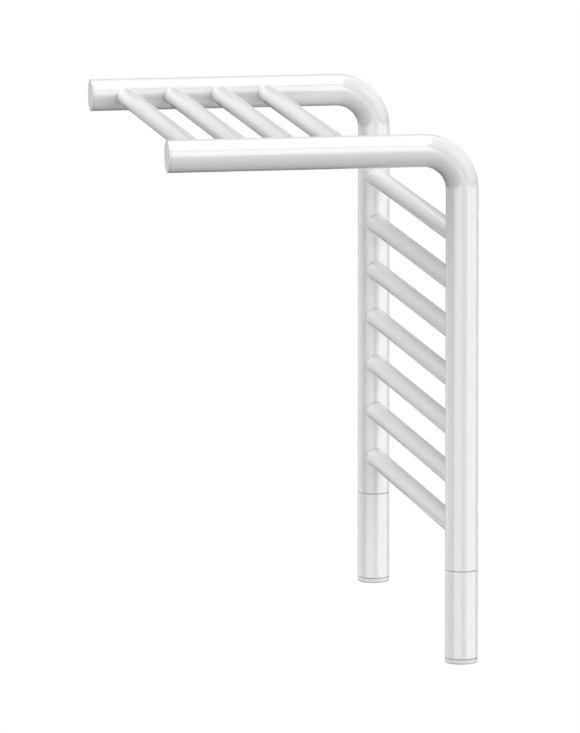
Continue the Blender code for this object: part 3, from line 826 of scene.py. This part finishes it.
# White softboxes far off in a white studio: azimuth from and to, elevation from and to, brightness.
# Azimuth 0 is +X, on the camera's side of the object, and 90 is +Y, behind the wall.
SOFTBOXES = {
    "tall strip by the camera": (4, 17, 2, 38, 5.4),
    "low strip in front": (-64, -13, -14, -4, 4.4),
    "low gap by the camera": (-13, 28, -14, -4, 1.7),
    "low strip behind": (28, 45, -14, -4, 4.8),
    "low strip behind, middle": (45, 100, -14, -4, 3.4),
    "low strip behind, end": (100, 140, -14, -4, 0.8),
    "low strip, far side": (-150, -64, -14, -4, 0.9),
    "low far corner": (140, 230, -14, 16, 0.38),
    "front fill": (-60, 0, 2, 37, 0.3),
    "far side fill": (-150, -83, 5, 44, 3.1),
    "back fill": (45, 75, 2, 37, 1.5),
    "back corner fill": (75, 160, 2, 37, 0.6),
    "floor bounce": (-180, 180, -90, -62, 0.25),
    "near floor bounce": (0, 90, -50, -14, 0.25),
}
# Softboxes in the ceiling: from and to along X, from and to along Y at a height of 1, brightness.
CEILING = {
    "over the object": (-0.45, 0.97, 0.08, 0.34, 5.4),
    "over the shelf": (-0.45, 0, -0.82, 0.08, 2.8),
    "far side": (-0.9, -0.45, -0.87, 0.87, 0.9),
}
SOFT_ANGLE = 0.5  # half the width of a softbox's soft edge, in degrees
SOFT_CEILING = 0.01  # the same in the ceiling, at a height of 1
LOWEST = 0.001  # keeps the ceiling clear of the horizon


def window(tree, value, low, high, soft, wrap=None):
    """1 where a value is between low and high and 0 elsewhere, with soft edges."""
    offset = calc(tree, "SUBTRACT", value, (low + high) / 2)
    if wrap:
        offset = calc(tree, "WRAP", offset, wrap, -wrap)
    edge = (high - low) / 2
    return ramp(tree, calc(tree, "ABSOLUTE", offset), edge - soft, edge + soft, 1, 0, "SMOOTHSTEP")


def studio():
    """The softboxes, seen only in reflections and as light. The camera sees a plain white backdrop."""
    made = bpy.data.worlds.new("studio")
    made.use_nodes = True
    tree = made.node_tree
    coords = tree.nodes.new("ShaderNodeTexCoord")
    x, y, z = join(tree, "ShaderNodeSeparateXYZ", {"Vector": coords.outputs["Generated"]}).outputs
    azimuth = calc(tree, "DEGREES", calc(tree, "ARCTAN2", y, x))
    elevation = calc(tree, "DEGREES", calc(tree, "ARCSINE", z))
    height = calc(tree, "MAXIMUM", z, LOWEST)
    along_x, along_y = calc(tree, "DIVIDE", x, height), calc(tree, "DIVIDE", y, height)
    light = 0.0
    for from_az, to_az, from_el, to_el, brightness in SOFTBOXES.values():
        across = window(tree, azimuth, from_az, to_az, SOFT_ANGLE, wrap=180)
        up = window(tree, elevation, from_el, to_el, SOFT_ANGLE)
        light = calc(tree, "MULTIPLY_ADD", calc(tree, "MULTIPLY", across, up), brightness, light)
    for from_x, to_x, from_y, to_y, brightness in CEILING.values():
        across = window(tree, along_x, from_x, to_x, SOFT_CEILING)
        along = window(tree, along_y, from_y, to_y, SOFT_CEILING)
        light = calc(tree, "MULTIPLY_ADD", calc(tree, "MULTIPLY", across, along), brightness, light)
    seen = tree.nodes.new("ShaderNodeLightPath").outputs["Is Camera Ray"]
    strength = join(tree, "ShaderNodeMapRange", {"Value": seen, "To Min": light}).outputs["Result"]
    backdrop = tree.nodes["Background"]
    backdrop.inputs["Color"].default_value = (1, 1, 1, 1)
    tree.links.new(strength, backdrop.inputs["Strength"])
    bpy.context.scene.world = made
    bpy.context.scene.view_settings.view_transform = "Standard"


def floor():
    """A plain pale floor, far enough down to see the object from below. It casts no light on the object."""
    half, drop, glow = 60, 16.0, 0.3
    bm = bmesh.new()
    bmesh.ops.create_grid(bm, x_segments=1, y_segments=1, size=half)
    bmesh.ops.translate(bm, verts=bm.verts, vec=(0, 0, LEG_END_Z - drop))
    made, tree, shader = new_material("floor")
    shader.inputs["Roughness"].default_value = 0.9
    shader.inputs["Emission Color"].default_value = (1, 1, 1, 1)
    shader.inputs["Emission Strength"].default_value = glow
    tone = ramp(tree, noise(tree, 0.8, 3), 0.3, 0.7, 0.90, 0.93)
    tree.links.new(blend(tree, tone, (0, 0, 0), (1, 1, 1)), shader.inputs["Base Color"])
    plane = new_object("floor", bm)
    plane.data.materials.append(made)
    for kind in ("diffuse", "glossy", "transmission", "shadow"):
        setattr(plane, f"visible_{kind}", False)


def main():
    camera()
    studio()
    floor()
    enamel, plastic, steel, brass, rubber, black, green, board = map(finish_of, FINISHES)
    for hand in HANDS:
        upright(hand, enamel)
        arm_cap(hand, enamel)
        bush(hand, steel)
        grub_screw(hand, steel)
        heater_lead(hand, rubber)
        for level in LEVELS:
            wall_boss(f"{level}_{hand}_wall_boss", steel)
    for node in sorted(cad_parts):
        if node.startswith(("ladder_bar", "shelf_bar")):
            bar(node, enamel)
    entries = [("right_grub_screw", GRUB_R), ("cable_grommet", GROMMET_NECK_R)]
    sleeve("left", "plain_sleeve", enamel, [("left_grub_screw", GRUB_R)])
    sleeve("right", "control_sleeve", enamel, entries)
    plain_cap(plastic)
    knob(plastic)
    grommet(rubber)
    hex_plug("left", "blank_plug", brass, [])
    o_ring("left", "blank_plug_o_ring", rubber)
    element_hole = size("heating_element").y / 2 + GAP
    probe_hole = size("temperature_probe").x / 2 + GAP
    through = [(-HAIRPIN_HALF, element_hole), (HAIRPIN_HALF, element_hole), (0, probe_hole)]
    hex_plug("right", "heater_head", brass, through)
    o_ring("right", "heater_o_ring", rubber)
    heating_element(steel)
    temperature_probe(steel)
    terminal_block(green)
    circuit_board(board)
    relay(black)
    capacitor(black)
    potentiometer(black)
    potentiometer_nut(steel)
    control_shaft(steel)
    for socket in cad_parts["control_carrier"].material_slots:
        socket.material = black


main()
